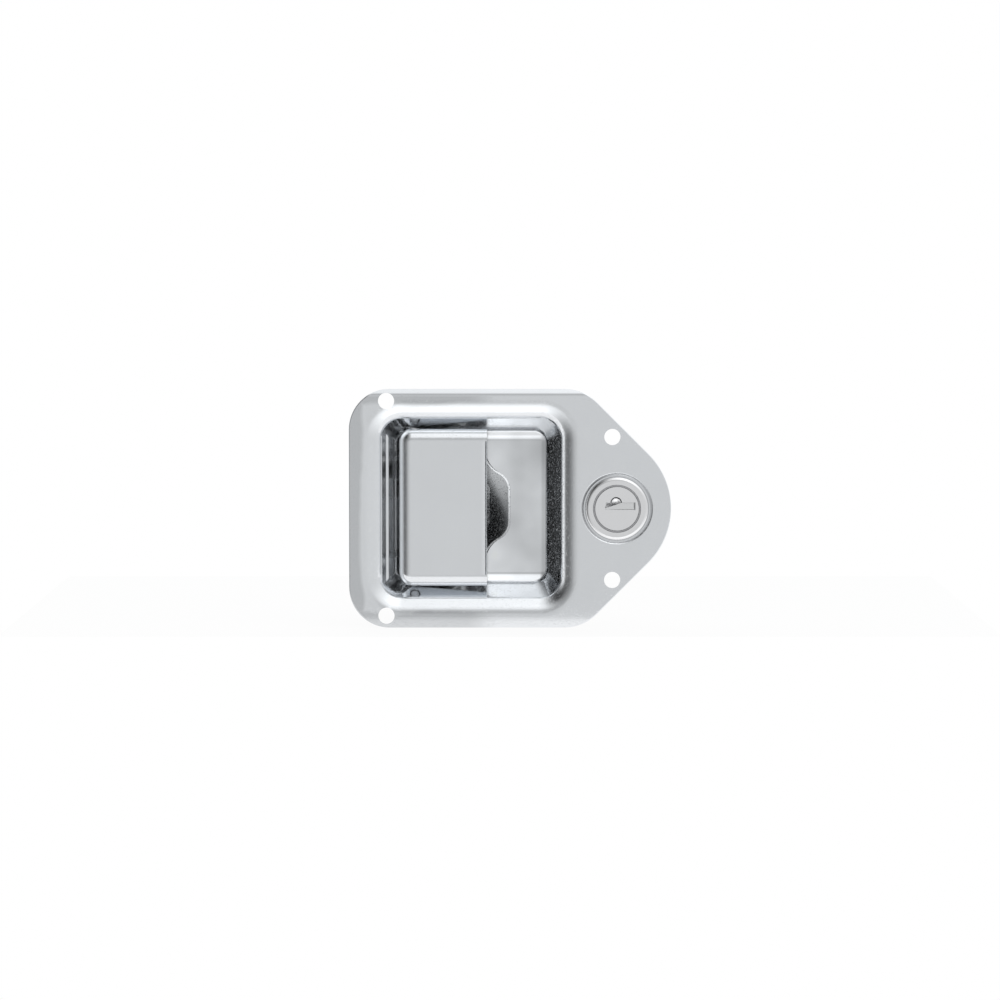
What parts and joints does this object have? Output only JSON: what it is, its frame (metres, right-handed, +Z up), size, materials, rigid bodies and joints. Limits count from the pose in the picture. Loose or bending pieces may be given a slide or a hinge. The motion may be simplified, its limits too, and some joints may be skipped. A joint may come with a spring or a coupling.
{
  "type": "paddle latch",
  "caption": "Flush paddle latch of bright plated sheet steel with a key lock: pulling the paddle out of its drawn pan turns a two-armed rod lever behind the door.",
  "frame": {"origin": "on the back face of the face plate, at the centre of the drawn pan", "axes": "+X along the plate from the hinge end to the lock, +Y into the door, +Z up"},
  "size_m": [0.1111, 0.0327, 0.0826],
  "materials": {
    "plated_sheet": "bright zinc plate, satin",
    "plated_steel": "zinc plate",
    "bright_steel": "ground bright",
    "spring_steel": "drawn wire",
    "lock_chrome": "polished plate"
  },
  "bodies": {
    "frame": {"pan": "plated_sheet", "hinge_bracket": "plated_steel", "lever_stud": "bright_steel", "bracket_rivets": "bright_steel", "lever_washer": "plated_steel", "lever_clip": "spring_steel", "lock_body": "lock_chrome", "lock_washer": "plated_steel", "lock_nut": "plated_steel", "paddle_spring": "spring_steel", "lever_spring": "spring_steel"},
    "paddle": {"paddle": "plated_sheet", "trip_arm": "plated_steel", "hinge_pin": "bright_steel", "pivot_spacers": "bright_steel"},
    "lever": {"rod_lever": "plated_steel"},
    "plug": {"lock_plug": "lock_chrome", "wafer_1": "bright_steel", "wafer_2": "bright_steel", "wafer_3": "bright_steel", "wafer_4": "bright_steel", "wafer_5": "bright_steel", "lock_cam": "plated_steel", "cam_washer": "plated_steel", "cam_screw": "plated_steel"},
    "shutter": {"keyway_shutter": "bright_steel"}
  },
  "joints": [
    {"name": "paddle_swing", "type": "hinge", "parent": "frame", "child": "paddle", "pos_m": [-0.0195, 0.0053, 0], "axis": [0, 0, -1], "range_deg": [0, 30], "stiffness_Nm_per_rad": 0.2, "springref_deg": -20.05, "deforming": ["paddle_spring"]},
    {"name": "lever_turn", "type": "hinge", "parent": "frame", "child": "lever", "pos_m": [-0.0127, 0.02125, -0.004], "axis": [0, 1, 0], "range_deg": [0, 40.5], "stiffness_Nm_per_rad": 0.1, "springref_deg": -20.05, "deforming": ["lever_spring"]},
    {"name": "plug_turn", "type": "hinge", "parent": "frame", "child": "plug", "pos_m": [0.0503, 0, 0], "axis": [0, -1, 0], "range_deg": [0, 90]},
    {"name": "shutter_swing", "type": "hinge", "parent": "plug", "child": "shutter", "pos_m": [0.0512, -0.00205, 0], "axis": [-1, 0, 0], "range_deg": [0, 80], "stiffness_Nm_per_rad": 0.00002, "springref_deg": -20.05}
  ],
  "couplings": [
    {"joint": "lever_turn", "follows": "paddle_swing", "ratio": 1.35}
  ]
}
